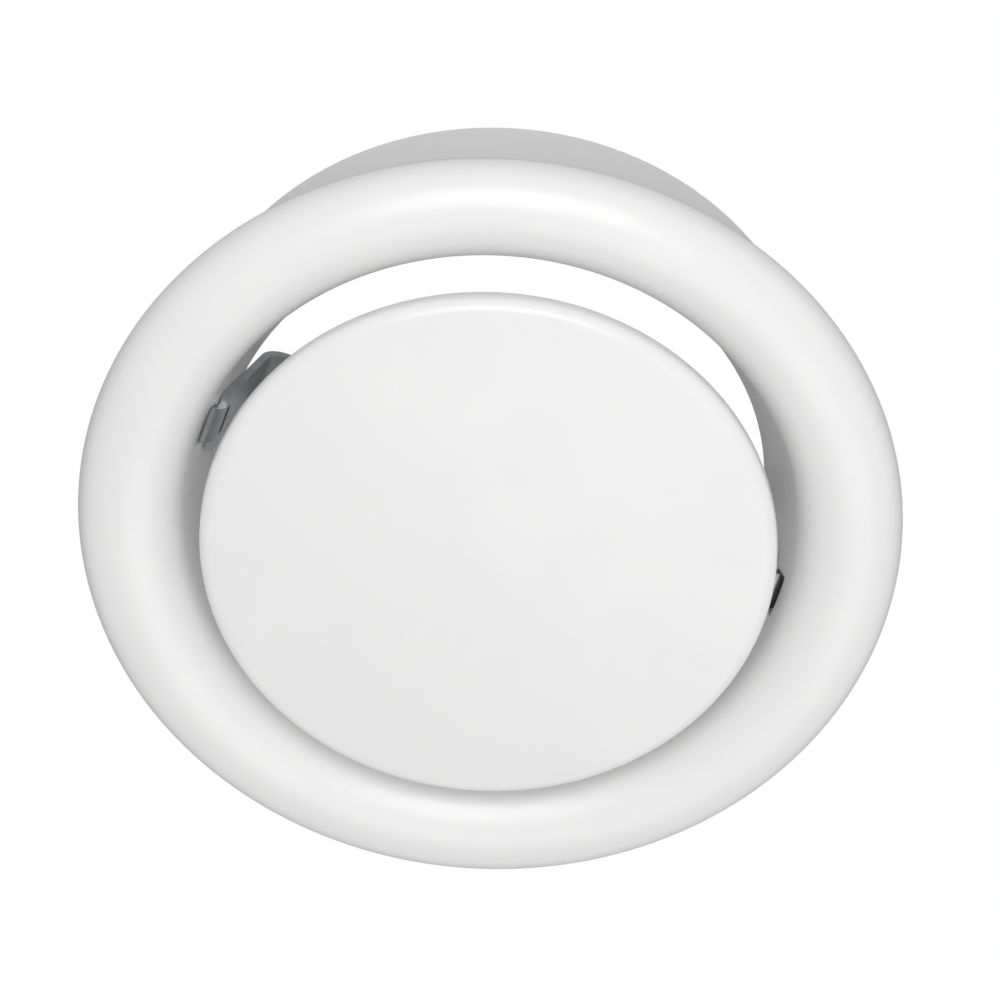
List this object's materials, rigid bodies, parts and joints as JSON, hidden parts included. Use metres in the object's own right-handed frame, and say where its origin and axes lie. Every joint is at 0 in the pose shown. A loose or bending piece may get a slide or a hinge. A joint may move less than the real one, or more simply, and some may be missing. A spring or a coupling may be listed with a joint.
{
  "type": "ceiling air valve",
  "caption": "Round pressed-steel air valve: a rolled ring with a funnel throat, a domed disc screwed in or out on a spindle, and a spigot collar.",
  "frame": {"origin": "centre of the collar's screw flange, in the plane of the ceiling", "axes": "+Z along the duct's axis, up into the duct and away from the room; X along the strap that carries the spindle"},
  "size_m": [0.158, 0.158, 0.0639],
  "materials": {
    "white_paint": "smooth white powder coat, semi-gloss",
    "zinc_plate": "zinc-plated steel, satin",
    "spring_steel": "bright spring steel",
    "foam": "matt closed-cell foam"
  },
  "bodies": {
    "collar": {"mounting_collar": "white_paint"},
    "insert": {"valve_body": "white_paint", "ceiling_gasket": "foam", "bridge_strap": "zinc_plate", "threaded_bush": "zinc_plate", "retaining_spring_1": "spring_steel", "retaining_spring_2": "spring_steel", "retaining_spring_3": "spring_steel", "spring_rivets": "zinc_plate"},
    "spindle": {"spindle": "zinc_plate"},
    "disc": {"disc": "white_paint", "disc_hub": "zinc_plate"},
    "lock_nut": {"lock_nut": "zinc_plate"}
  },
  "joints": [
    {"name": "insert_pull", "type": "slide", "parent": "collar", "child": "insert", "axis": [0, 0, -1], "range_m": [0, 0.025]},
    {"name": "spindle_travel", "type": "slide", "parent": "insert", "child": "spindle", "axis": [0, 0, 1], "range_m": [-0.0076, 0.0113]},
    {"name": "disc_turn", "type": "hinge", "parent": "spindle", "child": "disc", "pos_m": [0, 0, 0], "axis": [0, 0, 1], "range_deg": [-2160, 3240]},
    {"name": "lock_nut_travel", "type": "slide", "parent": "insert", "child": "lock_nut", "axis": [0, 0, 1], "range_m": [0, 0.005]}
  ],
  "couplings": [
    {"joint": "spindle_travel", "follows": "disc_turn", "m_per_rad": 0.00019894}
  ]
}
